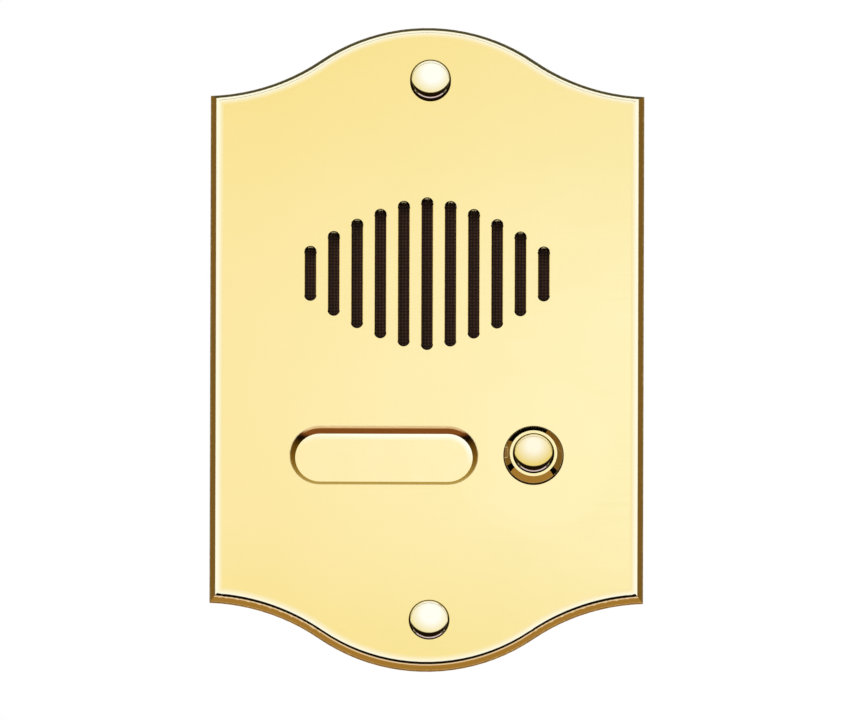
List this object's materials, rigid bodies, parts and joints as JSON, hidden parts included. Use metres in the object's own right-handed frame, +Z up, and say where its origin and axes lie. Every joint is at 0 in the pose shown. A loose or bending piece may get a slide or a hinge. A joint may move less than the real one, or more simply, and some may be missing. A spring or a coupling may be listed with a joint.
{
  "type": "doorbell push panel",
  "caption": "Brass door-entry panel with ogee ends, a slotted speech grille, an oblong name window and a sprung domed push, with its contact set and speech unit behind.",
  "frame": {"origin": "middle of the plate outline, on the wall plane", "axes": "+X to the right as seen from the front, +Y into the wall, +Z up"},
  "size_m": [0.12, 0.0382, 0.1844],
  "materials": {
    "polished_brass": "polished and lacquered",
    "turned_brass": "turned",
    "zinc_plated_steel": "zinc plated",
    "spring_steel": "bright wire",
    "spring_bronze": "rolled",
    "black_phenolic": "moulded",
    "natural_nylon": "turned",
    "case_plastic": "moulded, fine grain",
    "mesh_cloth": "fine woven",
    "foam": "closed cell",
    "soft_rubber": "moulded",
    "cone_paper": "pressed",
    "ferrite": "ground",
    "microphone_can": "drawn",
    "board_laminate": "solder resist",
    "terminal_plastic": "moulded"
  },
  "bodies": {
    "panel": {"face_plate": "polished_brass", "screw_caps": "polished_brass", "button_bezel": "polished_brass", "name_plate": "polished_brass", "fixing_screws": "turned_brass", "plate_studs": "turned_brass", "bezel_nut": "turned_brass", "contact_studs": "turned_brass", "terminal_nuts": "turned_brass", "terminal_washers": "turned_brass", "stud_nuts": "zinc_plated_steel", "name_plate_holder": "zinc_plated_steel", "bezel_washer": "zinc_plated_steel", "contact_cover_screws": "zinc_plated_steel", "cover_screws": "zinc_plated_steel", "terminal_block_screws": "zinc_plated_steel", "speaker_frame": "zinc_plated_steel", "return_spring": "spring_steel", "contact_block": "black_phenolic", "contact_cover": "black_phenolic", "speech_case": "case_plastic", "speech_cover": "case_plastic", "grille_cloth": "mesh_cloth", "speaker_gasket": "foam", "speaker_pad": "foam", "speaker_cone": "cone_paper", "speaker_magnet": "ferrite", "microphone_boot": "soft_rubber", "microphone": "microphone_can", "circuit_board": "board_laminate", "terminal_block": "terminal_plastic"},
    "button": {"push_button": "polished_brass", "button_stem": "natural_nylon", "contact_bridge": "spring_bronze", "bridge_clip": "spring_steel"}
  },
  "joints": [
    {"name": "button_press", "type": "slide", "parent": "panel", "child": "button", "axis": [0, 1, 0], "range_m": [0, 0.002], "stiffness_N_per_m": 400, "springref_m": -0.003, "deforming": ["return_spring"]}
  ]
}
